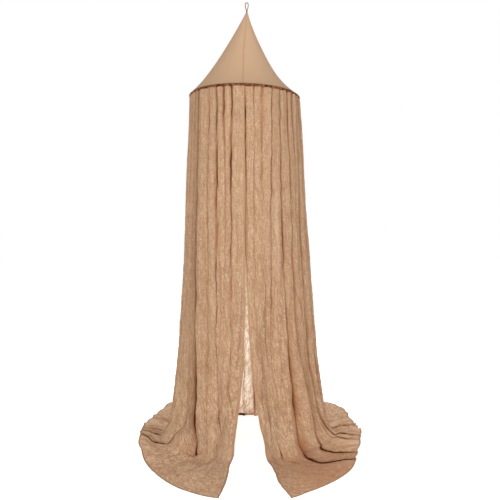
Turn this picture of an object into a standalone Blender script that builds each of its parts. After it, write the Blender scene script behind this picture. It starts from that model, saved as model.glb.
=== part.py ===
"""A hanging bed canopy of crinkled gauze, at its real size, in metres with +Z up.

A cone of plain cloth hangs from a cord loop. Its rolled hem holds a wire hoop, and a gathered curtain
falls from under the roll to the floor, where it spreads out in a train. The curtain is open at the
front: its two edges lap at the top, part at waist height and lie as two flaps on the floor.

The origin is the place in the loop where a ceiling hook bears. The shapes are worked out above the
floor, round the hoop's centre, and an empty carries them down to where they hang.
Azimuths are in degrees, 0 at the front (-Y), 90 on the left (-X), 180 at the back, 270 on the right.
"""

import math
from typing import NamedTuple

import bmesh
import bpy
import numpy as np

# Driving sizes.
CLOTH = 0.002  # how thick each sheet is
HOOP_RADIUS = 0.246  # to the middle of the wire
WIRE_RADIUS = 0.003
HOOP_HEIGHT = 1.541  # above the floor
HOOP_TILT = math.radians(1.3)  # the hoop hangs a little lower on the right
APEX_HEIGHT = 1.926
APEX_LEAN = 0.010  # the tip hangs this far to the right of the hoop's centre
LOOP_HEIGHT = 0.0505  # from the tip to the top of the loop
LOOP_CORD_RADIUS = 0.002
LOOP_EYE = 0.0066  # half the eye's width, to the middle of the cord
LOOP_NECK = 0.015  # above the tip the two strands part here
LOOP_TAIL = 0.016  # they go this far down inside the cone
LOOP_CROWN = 0.0415  # above the tip the eye's round top starts here
CROWN_STEPS = 7
HOOK_HEIGHT = APEX_HEIGHT + LOOP_HEIGHT - 2 * LOOP_CORD_RADIUS
CLEARANCE = 0.0004

# The cone and its rolled hem.
TIP_RADIUS = 0.0056  # of the small hole that the loop's cord comes out of
SAG_LEFT = 0.25  # how hollow the cone's side is, as a share of the hoop's radius
SAG_RIGHT = 0.55
SAG_FLARE = 1.5  # how much more hollow it is near the hoop
ROLL_RADIUS = WIRE_RADIUS + CLEARANCE + CLOTH / 2 + 0.0002  # to the middle of the rolled sheet
ROLL_START, ROLL_END = 52, -238  # degrees round the wire, from outside the hoop's top, under it and up
ROLL_STEPS = 9
HOOP_SEGMENTS = 60
CONE_ROWS = 7
SEAM_AZIMUTH = 1.5
SEAM_HALF_WIDTH = 0.006
SEAM_HEIGHT = 0.0012

# The curtain.
HEADING_RADIUS = 0.2495  # of the crowns of its gathers
HEADING_DEPTH = 0.007  # of the gathers where they are sewn on
HEADING_FALL = 0.06  # this far below the hoop the gathers may be as deep as DEEPEST_CUT
DEEPEST_CUT = 0.05
BEND = 0.020  # how softly the wall turns onto the floor
EVEN_SPREAD = 0.55  # the share of the wall's spread that comes evenly, the rest comes near the floor
LATE_SPREAD = 6
CREASE_REACH = 0.5  # how far a crease bites into a fold, as a share of the fold's width
CREASE_SHARPNESS = 1.8
SWELL_FROM, SWELL_WITHIN = 0.9, 0.25  # the stations over which the folds on the floor rise
PARTING, PARTED = 0.42, 0.54  # the stations over which the front edges come level
LAP_FROM, LAP_WITHIN = 349, 7  # degrees over which the right edge goes behind the left one
EDGE_LAP = 0.0065  # the right edge hangs this far behind the left one above the parting
LIP_HEIGHT = 0.035
LIP_REACH = 0.028
SCALLOP = 0.7  # how much a fold on the floor pushes the hem out, as a share of its height
BACK_FOLDS = 15
BACK_FROM, BACK_TO = 105.0, 256.0

# Where the folds' stations lie: 0 at the hoop, 1 where the wall meets the floor, 2 at the hem.
STATIONS = (0.0, 0.48, 0.71, 0.92, 1.15, 1.5, 2.0)
CUT_STATIONS = (0.0, 0.48, 0.92, 1.10)
ROWS = (0.0, 0.02, 0.06, 0.16, 0.32, 0.48, 0.62, 0.75, 0.86, 0.93, 0.98, 1.03, 1.15, 1.4, 1.7, 2.0)
ACROSS_FOLD = (0.0, 0.2, 0.5, 0.8)


class Section(NamedTuple):
    """The curtain's outline on the floor: at an azimuth, where the wall lands, where the hem lies, how
    far the wall bellies out above the knee, and how far it slumps over the floor."""

    azimuth: float
    landing: float
    hem: float
    belly: float
    slump: float


SECTIONS = (
    Section(0, 0.310, 0.748, 0.000, 0.000),
    Section(8, 0.315, 0.738, 0.000, 0.000),
    Section(17, 0.330, 0.700, 0.000, 0.000),
    Section(30, 0.345, 0.622, 0.000, 0.000),
    Section(36, 0.350, 0.587, 0.000, 0.020),
    Section(48, 0.355, 0.534, 0.000, 0.000),
    Section(60, 0.355, 0.494, -0.002, 0.000),
    Section(70, 0.358, 0.474, -0.003, 0.030),
    Section(86, 0.358, 0.476, -0.003, 0.004),
    Section(100, 0.362, 0.490, -0.003, 0.000),
    Section(114, 0.366, 0.532, 0.000, 0.000),
    Section(130, 0.370, 0.600, 0.000, 0.000),
    Section(141, 0.374, 0.690, 0.000, 0.000),
    Section(150, 0.376, 0.780, 0.000, 0.000),
    Section(165, 0.378, 0.795, 0.000, 0.000),
    Section(185, 0.380, 0.790, 0.000, 0.004),
    Section(205, 0.380, 0.795, 0.000, 0.000),
    Section(218, 0.380, 0.790, 0.000, 0.000),
    Section(226, 0.380, 0.735, 0.004, 0.000),
    Section(236, 0.380, 0.640, 0.006, 0.000),
    Section(250, 0.384, 0.575, 0.010, 0.000),
    Section(264, 0.390, 0.542, 0.012, 0.000),
    Section(280, 0.390, 0.518, 0.012, 0.000),
    Section(292, 0.385, 0.524, 0.008, 0.000),
    Section(304, 0.375, 0.552, 0.004, 0.000),
    Section(317, 0.370, 0.606, 0.000, 0.000),
    Section(330, 0.355, 0.660, 0.000, 0.000),
    Section(342, 0.335, 0.716, 0.000, 0.000),
    Section(348, 0.325, 0.750, 0.000, 0.000),
    Section(362, 0.310, 0.755, 0.000, 0.000),
)


class Fold(NamedTuple):
    """A crease from the hoop to the hem: its azimuth at seven stations, how deep it is cut into the wall
    at three, and the fold that lies before it on the floor, its height and how far it leans."""

    ring: float
    waist: float
    knee: float
    ankle: float
    floor: float
    train: float
    hem: float
    cut_ring: float = 0.0
    cut_waist: float = 0.0
    cut_ankle: float = 0.0
    ridge: float = 0.0
    lean: float = 1.0


LEFT_EDGE = Fold(-1.5, -1.2, 0.0, 6.0, 8.4, 6.8, 6.9)
RIGHT_EDGE = Fold(361.5, 358.7, 355.7, 350.2, 346.0, 348.8, 347.6)
LEFT_FOLDS = (
    Fold(12.6, 11.3, 12.0, 14.5, 17.0, 16.0, 15.0, 0.012, 0.014, 0.004),
    Fold(21.0, 18.0, 18.0, 18.0, 22.0, 21.5, 21.0, 0.011, 0.002, 0.000),
    Fold(28.5, 24.8, 24.0, 21.5, 25.5, 26.5, 27.0, 0.012, 0.016, 0.010),
    Fold(38.0, 34.5, 33.0, 29.0, 29.0, 32.0, 33.0, 0.012, 0.005, 0.000),
    Fold(49.0, 45.0, 42.8, 37.5, 33.0, 38.0, 41.0, 0.014, 0.026, 0.042, 0.006),
    Fold(57.5, 55.0, 54.0, 53.0, 69.0, 84.0, 89.0, 0.012, 0.005, 0.012),
    Fold(67.0, 66.0, 65.0, 65.0, 79.0, 90.0, 94.0, 0.012, 0.010, 0.008, 0.022, 0.6),
    Fold(76.0, 76.0, 76.0, 75.0, 87.0, 95.0, 99.0, 0.011, 0.007, 0.012, 0.014, 0.7),
    Fold(86.0, 86.0, 85.0, 85.0, 93.5, 100.0, 104.5, 0.012, 0.014, 0.006, 0.012, 0.7),
    Fold(95.5, 95.0, 95.0, 95.0, 100.5, 106.0, 110.0, 0.011, 0.009, 0.010, 0.012, 0.8),
)
RIGHT_FOLDS = (
    Fold(266.0, 267.0, 267.0, 266.0, 260.0, 255.0, 250.5, 0.012, 0.010, 0.010, 0.014),
    Fold(275.0, 276.0, 277.0, 274.0, 265.5, 260.0, 255.0, 0.011, 0.014, 0.016, 0.014, 1.4),
    Fold(284.0, 289.0, 291.0, 281.0, 269.5, 264.0, 260.0, 0.012, 0.006, 0.010, 0.014, 1.4),
    Fold(295.0, 306.0, 305.5, 288.5, 274.5, 268.5, 265.5, 0.012, 0.014, 0.026, 0.018, 1.6),
    Fold(304.0, 312.5, 310.0, 300.0, 286.5, 280.0, 276.0, 0.012, 0.012, 0.026, 0.030, 2.0),
    Fold(313.0, 318.0, 318.0, 312.5, 310.0, 304.0, 295.7, 0.013, 0.004, 0.002, 0.034, 3.0),
    Fold(323.5, 325.5, 327.0, 323.5, 321.5, 311.5, 301.0, 0.013, 0.024, 0.032, 0.026, 2.4),
    Fold(333.5, 336.5, 337.0, 335.0, 331.0, 325.0, 318.0, 0.012, 0.014, 0.003),
    Fold(342.0, 345.0, 345.0, 341.5, 338.5, 335.0, 331.0, 0.012, 0.003, 0.004),
    Fold(351.0, 352.0, 350.5, 346.5, 342.0, 342.8, 341.0, 0.011, 0.009, 0.000),
)


def back_folds():
    """The folds of the back, evenly gathered and a little irregular, with low waves on the floor. Near
    the sides they are drawn round towards the back."""
    step = (BACK_TO - BACK_FROM) / (BACK_FOLDS - 1)
    folds = []
    for i in range(BACK_FOLDS):
        ring = BACK_FROM + i * step + 1.2 * math.sin(2.3 * i)
        stray = 1.6 * math.sin(1.3 * i + 0.8)
        drawn = 11.0 * max(0.0, 1 - i / 5) - 8.0 * max(0.0, (i - 8) / (BACK_FOLDS - 9))
        folds.append(
            Fold(
                ring,
                ring + stray,
                ring + 1.4 * stray,
                ring + 1.4 * stray,
                ring + 1.2 * stray + 0.4 * drawn,
                ring + 1.1 * stray + 0.7 * drawn,
                ring + stray + drawn,
                0.0115 + 0.001 * math.sin(3.1 * i),
                0.013 + 0.005 * math.sin(2.1 * i + 1.0),
                0.015 + 0.008 * math.sin(1.7 * i + 0.4),
                0.013 + 0.004 * math.sin(2.9 * i + 2.0),
            )
        )
    return tuple(folds)


FOLDS = (LEFT_EDGE, *LEFT_FOLDS, *back_folds(), *RIGHT_FOLDS, RIGHT_EDGE)


def through(x, at, values):
    """A smooth curve through the values given at the places at, read at x. Its pieces are cubic and never
    swing past the values: a place's slope is the harmonic mean of the slopes on its two sides, or level
    where they differ in sign. values may have more columns."""
    at = np.asarray(at, float)
    values = np.asarray(values, float)
    steps = np.diff(values, axis=0) / np.diff(at).reshape(-1, *[1] * (values.ndim - 1))
    before, after = steps[:-1], steps[1:]
    same = before * after > 0
    middle = np.where(same, 2 * before * after / np.where(same, before + after, 1), 0)
    slopes = np.concatenate([steps[:1], middle, steps[-1:]])
    i = np.clip(np.searchsorted(at, x, side="right") - 1, 0, len(at) - 2)
    width = at[i + 1] - at[i]
    f = np.clip((x - at[i]) / width, 0, 1)
    if values.ndim > 1:
        f, width = f[..., None], width[..., None]
    return (
        (2 * f**3 - 3 * f**2 + 1) * values[i]
        + (f**3 - 2 * f**2 + f) * width * slopes[i]
        + (3 * f**2 - 2 * f**3) * values[i + 1]
        + (f**3 - f**2) * width * slopes[i + 1]
    )


def ease(x):
    """From 0 to 1 as x goes from 0 to 1, level at both ends."""
    x = np.clip(x, 0, 1)
    return x * x * (3 - 2 * x)


def tilted(x, z):
    """The height of a point once the hoop's tilt has moved it; the floor stays level."""
    return z - x * math.tan(HOOP_TILT) * np.clip(z / HOOP_HEIGHT, 0, 1)


def curtain_columns():
    """For each column of the curtain: the fold it lies in, and its share of the way across that fold."""
    fold, share = [], []
    for i in range(len(FOLDS) - 1):
        fold += [i] * len(ACROSS_FOLD)
        share += ACROSS_FOLD
    return np.array(fold + [len(FOLDS) - 2]), np.array(share + [1.0])


def curtain_row(t, fold, share):
    """The points of one row of the curtain, from t = 0 at the hoop past 1 at the floor to 2 at the hem."""
    places = np.array([f[: len(STATIONS)] for f in FOLDS]).T
    azimuth = through(np.array([t]), STATIONS, places)[0]
    cuts = np.array([(f.cut_ring, f.cut_waist, f.cut_ankle, 0) for f in FOLDS]).T
    cut = through(np.array([t]), CUT_STATIONS, cuts)[0].clip(0, None)
    ridge = np.array([f.ridge for f in FOLDS])[fold + 1]
    lean = np.array([f.lean for f in FOLDS])[fold + 1]

    a = azimuth[fold] + share * (azimuth[fold + 1] - azimuth[fold])
    outline = through(a, [s.azimuth for s in SECTIONS], [s[1:] for s in SECTIONS])
    landing, hem, belly, slump = outline.T

    # Along the cloth: s is below 0 on the wall and above it on the floor.
    wave = np.sin(math.pi * share**lean)
    hem = hem + SCALLOP * ridge * wave
    floor_run = hem - landing
    s = (t - 1) * HOOP_HEIGHT if t < 1 else (t - 1) * floor_run
    s = np.broadcast_to(s, a.shape)
    height = BEND * np.logaddexp(0, -s / BEND)
    run = BEND * np.logaddexp(0, s / BEND)
    on_floor = 1 / (1 + np.exp(-s / BEND))

    fall = 1 - height / HOOP_HEIGHT
    spread = EVEN_SPREAD * fall + (1 - EVEN_SPREAD) * fall**LATE_SPREAD
    radius = HEADING_RADIUS + (landing - HEADING_RADIUS) * spread + run
    radius = radius + 6.75 * belly * fall**2 * (1 - fall)  # greatest a third of the way up
    radius = radius + slump * np.exp(-(((height - LIP_HEIGHT) / LIP_REACH) ** 2))

    # Creases: each bites into the wall, and on the floor the cloth between two of them stands up.
    near_first = np.clip(1 - share / CREASE_REACH, 0, 1) ** CREASE_SHARPNESS
    near_next = np.clip(1 - (1 - share) / CREASE_REACH, 0, 1) ** CREASE_SHARPNESS
    bite = cut[fold] * near_first + cut[fold + 1] * near_next
    deepest = HEADING_DEPTH + (DEEPEST_CUT - HEADING_DEPTH) * ease((HOOP_HEIGHT - height) / HEADING_FALL)
    bite = np.minimum(bite, deepest)
    swell = ridge * wave * ease((t - SWELL_FROM) / SWELL_WITHIN)
    radius = radius + (1 - on_floor) * (0.5 * swell - bite)
    height = height + on_floor * swell + CLOTH / 2

    # Above the parting the right edge hangs behind the left one.
    closed = 1 - ease((t - PARTING) / (PARTED - PARTING))
    radius = radius - EDGE_LAP * ease((a - LAP_FROM) / LAP_WITHIN) * closed

    angle = np.radians(a)
    x, y = -radius * np.sin(angle), -radius * np.cos(angle)
    if t == 0:
        height = HOOP_HEIGHT - ROLL_RADIUS - CLOTH / 2 - CLEARANCE
    return np.stack([x, y, tilted(x, height)], axis=1)


def surface(name, rows, closed, material):
    """A sheet through the rows of points, given its thickness by Solidify, half to each side."""
    count = len(rows[0])
    mesh = bmesh.new()
    for row in rows:
        for point in row:
            mesh.verts.new(point)
    mesh.verts.ensure_lookup_table()
    for r in range(len(rows) - 1):
        for c in range(count if closed else count - 1):
            nxt = (c + 1) % count
            corners = (r * count + c, r * count + nxt, (r + 1) * count + nxt, (r + 1) * count + c)
            mesh.faces.new([mesh.verts[i] for i in corners])
    data = bpy.data.meshes.new(name)
    mesh.to_mesh(data)
    mesh.free()
    made = finish(bpy.data.objects.new(name, data), material)
    thick = made.modifiers.new("thickness", "SOLIDIFY")
    thick.thickness = CLOTH
    thick.offset = 0
    return made


def rod(name, points, radius, closed, material):
    """A round rod through the points, a ring where closed."""
    path = bpy.data.curves.new(name, "CURVE")
    path.dimensions = "3D"
    path.bevel_depth = radius
    path.bevel_resolution = 2
    path.use_fill_caps = True
    line = path.splines.new("POLY")
    line.points.add(len(points) - 1)
    line.points.foreach_set("co", np.hstack([points, np.ones((len(points), 1))]).ravel())
    line.use_cyclic_u = closed
    return finish(bpy.data.objects.new(name, path), material)


def finish(made, material):
    """Links an object, gives it its material and hangs it from the floor point's empty."""
    bpy.context.scene.collection.objects.link(made)
    made.parent = bpy.data.objects["floor_point"]
    made.data.materials.append(material)
    if made.type == "MESH":
        made.data.shade_smooth()
    return made


def finish_of(name, colour, roughness, metallic=0.0):
    """A plain material of one colour."""
    made = bpy.data.materials.new(name)
    made.use_nodes = True
    shader = made.node_tree.nodes["Principled BSDF"]
    shader.inputs["Base Color"].default_value = (*colour, 1)
    shader.inputs["Roughness"].default_value = roughness
    shader.inputs["Metallic"].default_value = metallic
    return made


def make_curtain():
    """The gathered curtain, its train and its two front flaps, one sheet from edge to edge."""
    fold, share = curtain_columns()
    rows = [curtain_row(t, fold, share) for t in ROWS]
    return surface("curtain", rows, False, finish_of("gauze", (0.58, 0.37, 0.23), 0.95))


def hoop_azimuths():
    """Evenly round the hoop, with three close together where the cone's seam is."""
    half_width = math.degrees(SEAM_HALF_WIDTH / HOOP_RADIUS)
    even = np.arange(HOOP_SEGMENTS) * 360 / HOOP_SEGMENTS
    seam = [SEAM_AZIMUTH + side * half_width for side in (-1, 0, 1)]
    return np.array(sorted([*even[abs(even - SEAM_AZIMUTH) > 2 * half_width], *seam]))


def make_cone():
    """The cone with one seam at the front. Its hem rolls outside the hoop, under it and up inside."""
    azimuths = hoop_azimuths()
    angle = np.radians(azimuths)
    direction = np.stack([-np.sin(angle), -np.cos(angle)], axis=1)
    ridge = SEAM_HEIGHT * (azimuths == SEAM_AZIMUTH)
    side_sag = (SAG_LEFT + SAG_RIGHT) / 2 + (SAG_LEFT - SAG_RIGHT) / 2 * np.sin(angle)

    start = math.radians(ROLL_START)
    foot_radius = HOOP_RADIUS + ROLL_RADIUS * math.cos(start)
    foot_height = HOOP_HEIGHT + ROLL_RADIUS * math.sin(start)
    rows = []
    for k in np.linspace(1, 0, CONE_ROWS):
        sag = side_sag * (1 + SAG_FLARE * (1 - k) ** 3)
        radius = TIP_RADIUS + (foot_radius - TIP_RADIUS) * ((1 - k) - sag * k * (1 - k)) + ridge
        place = direction * radius[:, None]
        x = place[:, 0] + APEX_LEAN * k
        height = foot_height + (APEX_HEIGHT - foot_height) * k
        z = tilted(x, height) * (1 - k) + height * k
        rows.append(np.stack([x, place[:, 1], z], axis=1))
    for turn in np.linspace(ROLL_START, ROLL_END, ROLL_STEPS + 1)[1:]:
        place = direction * (HOOP_RADIUS + ROLL_RADIUS * math.cos(math.radians(turn)))
        z = HOOP_HEIGHT + ROLL_RADIUS * math.sin(math.radians(turn))
        rows.append(np.stack([place[:, 0], place[:, 1], tilted(place[:, 0], z)], axis=1))
    rows = [row[::-1] for row in rows]
    return surface("cone", rows, True, finish_of("plain_cloth", (0.60, 0.39, 0.25), 0.9))


def make_hoop():
    """The wire hoop inside the cone's hem."""
    angle = np.radians(hoop_azimuths())
    x, y = -HOOP_RADIUS * np.sin(angle), -HOOP_RADIUS * np.cos(angle)
    places = np.stack([x, y, tilted(x, np.full_like(x, HOOP_HEIGHT))], axis=1)
    return rod("hoop", places, WIRE_RADIUS, True, finish_of("wire", (0.75, 0.74, 0.72), 0.4, 1.0))


def make_loop():
    """The cord loop: two strands side by side out of the cone's tip, round an eye for the hook. Its
    route is one side, as places across and up from the tip, the crown, and the side mirrored."""
    strand = LOOP_CORD_RADIUS + CLEARANCE / 2
    side = ((strand, -LOOP_TAIL), (strand, 0.004), (strand, LOOP_NECK), (0.0048, 0.024), (LOOP_EYE, 0.034))
    rise = LOOP_HEIGHT - LOOP_CORD_RADIUS - LOOP_CROWN
    crown = [
        (LOOP_EYE * math.cos(a), LOOP_CROWN + rise * math.sin(a))
        for a in np.radians(np.linspace(15, 165, CROWN_STEPS))
    ]
    places = [*side, *crown, *[(-across, up) for across, up in reversed(side)]]
    fine = np.linspace(0, len(places) - 1, 2 * len(places) - 1)
    across, up = through(fine, range(len(places)), places).T
    points = np.stack([APEX_LEAN + across, 0 * across, APEX_HEIGHT + up], axis=1)
    return rod("loop", points, LOOP_CORD_RADIUS, False, finish_of("cord", (0.50, 0.31, 0.18), 0.9))


def main():
    for old in list(bpy.data.objects):
        bpy.data.objects.remove(old)
    floor_point = bpy.data.objects.new("floor_point", None)
    bpy.context.scene.collection.objects.link(floor_point)
    floor_point.location = (-APEX_LEAN, 0, -HOOK_HEIGHT)
    make_curtain()
    make_cone()
    make_hoop()
    make_loop()


main()
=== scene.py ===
"""The looks of a hanging bed canopy of crinkled gauze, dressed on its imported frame.

The curtain is made of six gauze panels that join in creases, with a rolled hem round their free edges.
The cone is one plain woven sheet whose own hem rolls round the wire hoop, and the loop is a twisted cord.
Shapes are worked out above the floor, round the hoop's centre, and shifted to where the loop hangs.
Azimuths are in degrees, 0 at the front (-Y), 90 on the left (-X), 180 at the back, 270 on the right.
"""

import math
from typing import NamedTuple

import bpy
import numpy as np
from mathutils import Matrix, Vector


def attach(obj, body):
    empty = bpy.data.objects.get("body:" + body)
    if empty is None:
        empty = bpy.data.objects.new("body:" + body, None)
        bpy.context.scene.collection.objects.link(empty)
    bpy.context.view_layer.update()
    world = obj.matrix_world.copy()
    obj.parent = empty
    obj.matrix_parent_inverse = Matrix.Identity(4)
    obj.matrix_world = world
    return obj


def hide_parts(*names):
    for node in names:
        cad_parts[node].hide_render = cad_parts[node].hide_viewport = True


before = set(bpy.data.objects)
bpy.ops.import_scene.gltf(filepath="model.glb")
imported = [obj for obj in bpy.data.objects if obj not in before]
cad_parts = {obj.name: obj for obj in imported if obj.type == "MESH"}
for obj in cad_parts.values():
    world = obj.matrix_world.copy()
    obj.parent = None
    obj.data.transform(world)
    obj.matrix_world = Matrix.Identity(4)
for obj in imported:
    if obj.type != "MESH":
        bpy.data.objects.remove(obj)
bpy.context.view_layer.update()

# Driving sizes, in metres, as in the part's source.
HOOP_RADIUS = 0.246
HOOP_HEIGHT = 1.541
HOOP_TILT = math.radians(1.3)
APEX_HEIGHT = 1.926
APEX_LEAN = 0.010
LOOP_HEIGHT = 0.0505
LOOP_CORD_RADIUS = 0.002
LOOP_EYE = 0.0066
LOOP_NECK = 0.015
LOOP_TAIL = 0.016
LOOP_CROWN = 0.0415
HOOK_HEIGHT = APEX_HEIGHT + LOOP_HEIGHT - 2 * LOOP_CORD_RADIUS
FLOOR = -HOOK_HEIGHT

# The cone, its seam and its rolled hem. Along the seam's path: share of the height, azimuth.
TIP_RADIUS = 0.0056
SAG_LEFT, SAG_RIGHT = 0.25, 0.55
SAG_FLARE = 1.5
ROLL_RADIUS = 0.0046
ROLL_START, ROLL_END = 52, -238
CASING_SHADE_EDGE = 0.0195  # where the casing's painted shade starts, as a share of the cone's height
SEAM_PATH = ((0.0, 1.9), (0.31, 3.0), (0.45, 4.6), (0.70, 4.5), (0.90, 1.6), (1.0, 2.0))
SEAM_WIDTH = 0.0035
SEAM_HEIGHT = 0.0012
DRAPE = 0.0012
LUMP = 0.0013
STUB_AT, STUB_REACH, STUB = 86, 5, 0.003  # the small lump of cloth at the ring's right end

# The loop's cord: three strands laid round each other.
STRANDS = 3
STRAND_RADIUS = 0.00105
STRAND_OFFSET = 0.00112
STRAND_PITCH = 0.010
NECK_TURNS = 1.5

# The curtain.
HEADING_RADIUS = 0.2495
HEADING_DEPTH = 0.007
HEADING_FALL = 0.06
DEEPEST_CUT = 0.05
BEND = 0.020  # how softly the wall bends out to the floor
SIDE_BENDS = ((75, 22, 0.008), (180, 30, -0.016), (296, 26, 0.028))  # azimuth, reach, how much more so there
EVEN_SPREAD = 0.55
LATE_SPREAD = 6
CREASE_REACH = 0.5
CREASE_SHARPNESS = 1.8
SWELL_FROM, SWELL_WITHIN = 0.86, 0.28
PARTING, PARTED = 0.42, 0.54
LAP_FROM, LAP_WITHIN = 349, 7
EDGE_LAP = 0.0065
EDGE_LINE = 0.9  # degrees, half the width of the groove beside the left edge, where the edges meet, with painted shadow as a dark line
EDGE_GROOVE = 0.008
LIP_HEIGHT = 0.035
LIP_REACH = 0.028
SCALLOP = 0.7
HEM_FLATNESS = 0.55  # how much lower a fold on the floor is at the hem than at the wall's foot
BACK_FOLDS = 15
BACK_FROM, BACK_TO = 105.0, 256.0
BACK_STRAY = (0, 1, 1.4, 1.4, 1.3, 1.2, 1.1, 1, 1)  # at each station, how far the back's folds stray
BACK_DRAWN = (0, 0, 0, 0, 0.1, 0.4, 0.6, 0.8, 1)  # and how far they are drawn round
STATIONS = (0.0, 0.48, 0.71, 0.92, 0.97, 1.15, 1.4, 1.65, 2.0)
CUT_STATIONS = (0.0, 0.48, 0.94, 1.16)
LIFT = 0.001  # of the gauze above the floor

# Shades on the curtain: the depths that are darkest, and the azimuth, reach and strength of others. Those
# beside the creases on the right also have a power, which is 4 where the shade is even and ends soon.
FULL_GROOVE, FULL_BITE = 0.019, 0.018
FLAP_SHADES = ((325, 25, 0.72), (30, 25, 0.16))
LEE_SHADES = ((320.5, 3.0, 0.50, 2), (302, 3.4, 0.42, 2), (314, 9, 0.15, 4))
BACK = 178  # the azimuth of the strip of the back that is seen through the parting
CORNER_SHADE_HEIGHT = 0.026  # of the painted shade in the corner inside the back's foot
PAINTED_HIGHLIGHT_AT, PAINTED_HIGHLIGHT_HEIGHT = 330, 0.97  # a painted highlight: a lighter streak down the wall

# How finely the looks are worked out.
WALL_ROWS, FLOOR_ROWS = 400, 110
COLUMN_WIDTH = 0.0052
FEWEST_COLUMNS = 18
HEM_RADIUS = 0.55  # of the hem, for counting the columns
CONE_COLUMNS, CONE_ROWS, ROLL_ROWS = 400, 90, 26
STRAND_SIDES = 10
CORD_STEPS = 240
HEM_SIDES = 10
CROWDING = 0.75  # how much closer the columns stand at a crease
LATTICE = 512

# How the gauze is creased and crinkled, in metres.
GROOVE_SHARE = 0.45
GROOVE_WIDTH = 0.0036
LIP_AT = 0.005  # how far from a crease the fold that laps over it bulges most
FULL_LAP = 0.006
VALLEY_WIDTH = 0.14  # of the crinkles' thin valleys, as a share of their own height
FULL_CUT = 0.02
TUCK_RADIUS = 0.34  # of the wall, about where most of the short creases lie
TUCK_STEPS = 32
FULL_TUCK = 0.008  # the depth of a tuck whose painted shade is as dark as a crease's
SLANT = math.radians(28)  # of the scales and grains against the cloth's length
CLEAR = 0.0008  # the least height of the crinkled gauze over the floor
HEM_WIDTH = 0.007
HEM_THICKNESS = 0.0018
INSET_COLUMNS, INSET_ROWS = 6, 3  # from the edge, to find which way the cloth lies

# How far each kind of crinkle is raised on the cloth's inner side.
WAVES, STREAKS, THREADS, SCALES = 0.006, 0.0045, 0.0017, 0.0014
PUFFS, GRAINS, GATHERS = 0.0075, 0.003, 0.0016

# The photograph's camera, in pixels, and where it stands.
PHOTO_WIDTH = 500
FOCAL_LENGTH = 660
AHEAD_ACROSS, AHEAD_DOWN = 244.5, 248.0  # the pixel straight ahead
EYE_DISTANCE, EYE_HEIGHT = 3.0, 0.86
SENSOR = 36  # mm

# Colours.
WHITE = (1, 1, 1, 1)
GAUZE_PALE, GAUZE_TAN = (0.8, 0.565, 0.366, 1), (0.705, 0.48, 0.298, 1)
PINCH_SHADE_DARK, PINCH_HIGHLIGHT, CRISP_HIGHLIGHT = (0.24, 0.102, 0.043, 1), (0.84, 0.595, 0.39, 1), (0.88, 0.625, 0.41, 1)
VALLEY_SHADE_BROWN, CREST_HIGHLIGHT_PALE = (0.33, 0.14, 0.056, 1), (0.9, 0.68, 0.48, 1)
DEPTH_SHADE_BROWN = (0.36, 0.15, 0.064, 1)
CREASE_SHADE_BROWN, CREASE_SHADE_BOTTOM = (0.36, 0.125, 0.044, 1), (0.045, 0.009, 0.002, 1)
PAINTED_GLOW_LOW, PAINTED_GLOW_HIGH = (0.46, 0.32, 0.195, 1), (0.95, 0.92, 0.82, 1)
HEM_DARK, HEM_LIGHT = (0.4, 0.225, 0.122, 1), (0.5, 0.3, 0.172, 1)
CONE_PALE, CONE_TAN, CONE_THREAD = (0.56, 0.378, 0.24, 1), (0.53, 0.35, 0.22, 1), (0.52, 0.335, 0.2, 1)
SEAM_BROWN, CASING_SHADE_DARK, CASING_SHADE_RED = (0.36, 0.19, 0.1, 1), (0.03, 0.005, 0.002, 1), (0.3, 0.115, 0.045, 1)
CORD_DARK, CORD_LIGHT = (0.15, 0.08, 0.036, 1), (0.29, 0.165, 0.085, 1)
WIRE_BRIGHT, WIRE_DULL = (0.62, 0.61, 0.6, 1), (0.48, 0.47, 0.46, 1)


class Section(NamedTuple):
    """The curtain's outline on the floor: at an azimuth, where the wall lands, where the hem lies, how
    far the wall bellies out above the knee, and how far it slumps over the floor."""

    azimuth: float
    landing: float
    hem: float
    belly: float = 0.0
    slump: float = 0.0


SECTIONS = (
    Section(0, 0.31, 0.748),
    Section(8, 0.315, 0.738),
    Section(17, 0.33, 0.7),
    Section(30, 0.345, 0.622),
    Section(36, 0.35, 0.587, 0, 0.006),
    Section(48, 0.355, 0.534),
    Section(60, 0.355, 0.494, -0.002),
    Section(70, 0.358, 0.474, -0.003, 0.01),
    Section(86, 0.358, 0.476, -0.003, 0.004),
    Section(100, 0.362, 0.49, -0.003),
    Section(114, 0.366, 0.532),
    Section(130, 0.37, 0.6),
    Section(141, 0.374, 0.69),
    Section(150, 0.376, 0.78),
    Section(165, 0.374, 0.795),
    Section(185, 0.372, 0.79),
    Section(205, 0.38, 0.795),
    Section(218, 0.38, 0.79),
    Section(226, 0.38, 0.735, 0.004),
    Section(236, 0.38, 0.64, 0.006),
    Section(250, 0.384, 0.575, 0.01),
    Section(264, 0.39, 0.542, 0.012),
    Section(280, 0.39, 0.518, 0.012),
    Section(292, 0.385, 0.524, 0.008),
    Section(304, 0.375, 0.552, 0.004),
    Section(317, 0.37, 0.606),
    Section(330, 0.355, 0.66),
    Section(342, 0.335, 0.716),
    Section(348, 0.325, 0.75),
    Section(362, 0.31, 0.755),
)


class Fold(NamedTuple):
    """A crease from the hoop to the hem: its azimuth at nine stations, how deep it is cut into the wall
    at three of them, and how far the fold on its front side laps over it. On the floor: how high the fold
    before it is, whether that one is rolled over towards the front, and how high the crease itself lies."""

    ring: float
    waist: float
    knee: float
    ankle: float
    foot: float
    floor: float
    train: float
    rim: float
    hem: float
    cut_ring: float = 0.0
    cut_waist: float = 0.0
    cut_ankle: float = 0.0
    lap: float = 0.0
    ridge: float = 0.0
    rolled: float = 0.0
    level: float = 0.0


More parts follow.
